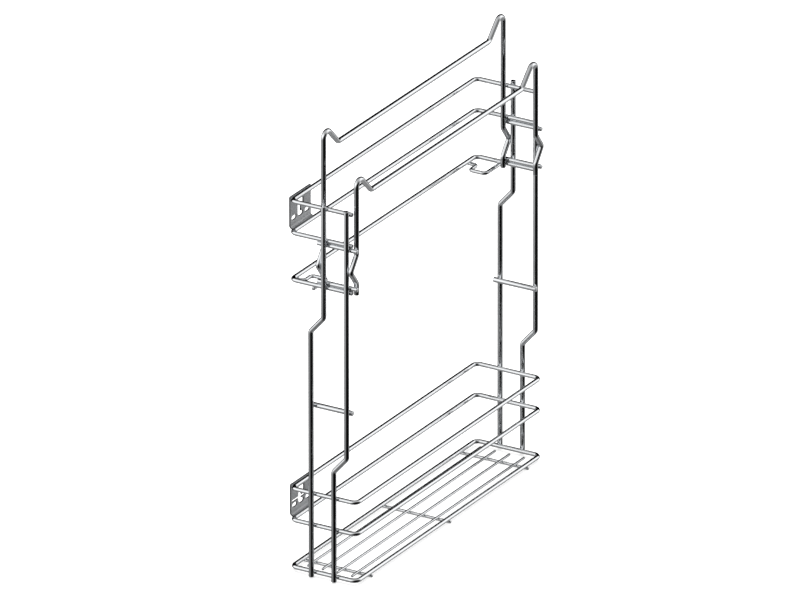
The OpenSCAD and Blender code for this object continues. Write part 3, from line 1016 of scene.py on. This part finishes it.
def reflected_room(tree):
    """The brightness of the room by direction, as metal reflects it."""
    way = add_node(tree, "ShaderNodeTexCoord").outputs["Generated"]
    height = add_node(tree, "ShaderNodeSeparateXYZ", links={"Vector": way}).outputs["Z"]
    curve = add_node(tree, "ShaderNodeFloatCurve", links={"Value": height})
    draw_curve(curve.mapping, ROOM_LEVELS)
    level = curve.outputs["Value"]
    for turn, rise, full, end, darkness in SCREENS:
        near = add_node(tree, "ShaderNodeVectorMath", {
            "operation": "DOT_PRODUCT", 1: direction(turn, rise)}, {0: way})
        open_part = add_node(tree, "ShaderNodeMapRange", {
            "interpolation_type": "SMOOTHSTEP", "From Min": math.cos(math.radians(end)),
            "From Max": math.cos(math.radians(full)), "To Min": 1.0, "To Max": 1 - darkness},
            {"Value": near.outputs["Value"]})
        level = add_node(tree, "ShaderNodeMath", {"operation": "MULTIPLY"}, {
            0: level, 1: open_part.outputs["Result"]}).outputs[0]
    return level


def direction(turn, rise):
    """The direction that is turned from +X and raised, both in degrees."""
    turn, rise = math.radians(turn), math.radians(rise)
    return Vector((math.cos(rise) * math.cos(turn), math.cos(rise) * math.sin(turn),
                   math.sin(rise)))


def draw_curve(mapping, points):
    """Sets a float curve to straight lines between points, level beyond its ends."""
    curve = mapping.curves[0]
    mapping.use_clip = False
    mapping.extend = "HORIZONTAL"
    while len(curve.points) < len(points):
        curve.points.new(0, 0)
    for point, place in zip(curve.points, points):
        point.location = place
        point.handle_type = "VECTOR"
    mapping.update()


def light_room():
    """A white room: plain to the camera, softer on matt surfaces, and screened in reflections."""
    world = bpy.data.worlds.new("white studio")
    bpy.context.scene.world = world
    tree = new_tree(world)
    path = add_node(tree, "ShaderNodeLightPath")
    on_metal = add_node(tree, "ShaderNodeMix", {"data_type": "FLOAT", 2: ROOM_LIGHT}, {
        0: path.outputs["Is Glossy Ray"], 3: reflected_room(tree)})
    level = add_node(tree, "ShaderNodeMix", {"data_type": "FLOAT", 3: 1.0}, {
        0: seen_directly(tree, path), 2: on_metal.outputs[0]})
    room = add_node(tree, "ShaderNodeBackground", {"Strength": 1.0},
                    {"Color": level.outputs[0]})
    add_node(tree, "ShaderNodeOutputWorld", links={"Surface": room.outputs[0]})


# Operators

class WIRE_INSERT_OT_uprights(bpy.types.Operator):
    """Draw the four uprights, each with one joggle"""
    bl_idname = "wire_insert.uprights"
    bl_label = "Uprights"
    bl_options = {"REGISTER", "UNDO"}

    def execute(self, context):
        draw_uprights()
        return {"FINISHED"}


class WIRE_INSERT_OT_braces(bpy.types.Operator):
    """Draw the two braces between the uprights"""
    bl_idname = "wire_insert.braces"
    bl_label = "Braces"
    bl_options = {"REGISTER", "UNDO"}

    def execute(self, context):
        draw_braces()
        return {"FINISHED"}


class WIRE_INSERT_OT_basket_rings(bpy.types.Operator):
    """Draw the basket's three closed rings"""
    bl_idname = "wire_insert.basket_rings"
    bl_label = "Basket rings"
    bl_options = {"REGISTER", "UNDO"}

    def execute(self, context):
        draw_rings()
        return {"FINISHED"}


class WIRE_INSERT_OT_base_wires(bpy.types.Operator):
    """Draw the cross wires and the thin long wires of the base"""
    bl_idname = "wire_insert.base_wires"
    bl_label = "Base wires"
    bl_options = {"REGISTER", "UNDO"}

    def execute(self, context):
        draw_base_wires()
        return {"FINISHED"}


class WIRE_INSERT_OT_guard_wires(bpy.types.Operator):
    """Draw the three guard wires, open on the right"""
    bl_idname = "wire_insert.guard_wires"
    bl_label = "Guard wires"
    bl_options = {"REGISTER", "UNDO"}

    def execute(self, context):
        draw_guard_wires()
        return {"FINISHED"}


class WIRE_INSERT_OT_hook_wires(bpy.types.Operator):
    """Draw the two cranked hook wires"""
    bl_idname = "wire_insert.hook_wires"
    bl_label = "Hook wires"
    bl_options = {"REGISTER", "UNDO"}

    def execute(self, context):
        draw_hook_wires()
        return {"FINISHED"}


class WIRE_INSERT_OT_mounting_plates(bpy.types.Operator):
    """Press and punch the two mounting plates"""
    bl_idname = "wire_insert.mounting_plates"
    bl_label = "Mounting plates"
    bl_options = {"REGISTER", "UNDO"}

    def execute(self, context):
        for node, upper in PLATES:
            press_plate(node, middle(upper).z, has_slit=node.endswith("lower"))
        return {"FINISHED"}


class WIRE_INSERT_OT_towel_rails(bpy.types.Operator):
    """Draw the two towel rails with their horns"""
    bl_idname = "wire_insert.towel_rails"
    bl_label = "Towel rails"
    bl_options = {"REGISTER", "UNDO"}

    def execute(self, context):
        draw_towel_rails()
        return {"FINISHED"}


class WIRE_INSERT_OT_spring_legs(bpy.types.Operator):
    """Draw the four kinked spring legs"""
    bl_idname = "wire_insert.spring_legs"
    bl_label = "Spring legs"
    bl_options = {"REGISTER", "UNDO"}

    def execute(self, context):
        draw_spring_legs()
        return {"FINISHED"}


class WIRE_INSERT_OT_rail_bars(bpy.types.Operator):
    """Draw the four bars that join the legs"""
    bl_idname = "wire_insert.rail_bars"
    bl_label = "Rail bars"
    bl_options = {"REGISTER", "UNDO"}

    def execute(self, context):
        draw_rail_bars()
        return {"FINISHED"}


class WIRE_INSERT_OT_welds(bpy.types.Operator):
    """Add the necks of the spot welds on the frame and on the towel rail unit"""
    bl_idname = "wire_insert.welds"
    bl_label = "Welds"
    bl_options = {"REGISTER", "UNDO"}

    def execute(self, context):
        join_welds("frame_welds", "frame", frame_weld_spots())
        join_welds("rail_unit_welds", "towel_rail_unit", unit_weld_spots())
        return {"FINISHED"}


class WIRE_INSERT_OT_studio(bpy.types.Operator):
    """Set up the camera, the floor, the lamp and the white room"""
    bl_idname = "wire_insert.studio"
    bl_label = "Studio"
    bl_options = {"REGISTER", "UNDO"}

    def execute(self, context):
        place_camera()
        lay_floor()
        hang_lamp()
        light_room()
        bpy.context.scene.view_settings.view_transform = "Standard"
        return {"FINISHED"}


OPERATORS = (WIRE_INSERT_OT_uprights, WIRE_INSERT_OT_braces, WIRE_INSERT_OT_basket_rings,
             WIRE_INSERT_OT_base_wires, WIRE_INSERT_OT_guard_wires, WIRE_INSERT_OT_hook_wires,
             WIRE_INSERT_OT_mounting_plates, WIRE_INSERT_OT_towel_rails,
             WIRE_INSERT_OT_spring_legs, WIRE_INSERT_OT_rail_bars, WIRE_INSERT_OT_welds,
             WIRE_INSERT_OT_studio)


class WIRE_INSERT_PT_panel(bpy.types.Panel):
    """Lists the insert's pieces, sizes and colours"""
    bl_label = "Wire insert"
    bl_space_type = "VIEW_3D"
    bl_region_type = "UI"
    bl_category = "Wire insert"

    def draw(self, context):
        for operator in OPERATORS:
            self.layout.operator(operator.bl_idname)
        for group in (context.scene.wire_insert_wires, context.scene.wire_insert_plates,
                      context.scene.wire_insert_colours):
            box = self.layout.box()
            for name in group.__annotations__:
                box.prop(group, name)


GROUPS = {"wire_insert_wires": WIRE_INSERT_wire_sizes,
          "wire_insert_plates": WIRE_INSERT_plate_sizes,
          "wire_insert_colours": WIRE_INSERT_colours}
CLASSES = (*GROUPS.values(), *OPERATORS, WIRE_INSERT_PT_panel)


def register():
    for kind in CLASSES:
        bpy.utils.register_class(kind)
    for name, group in GROUPS.items():
        setattr(bpy.types.Scene, name, PointerProperty(type=group))


def unregister():
    for name in GROUPS:
        delattr(bpy.types.Scene, name)
    for kind in reversed(CLASSES):
        bpy.utils.unregister_class(kind)


def main():
    register()
    for operator in OPERATORS:
        group, name = operator.bl_idname.split(".")
        getattr(getattr(bpy.ops, group), name)()


if __name__ == "__main__":
    main()
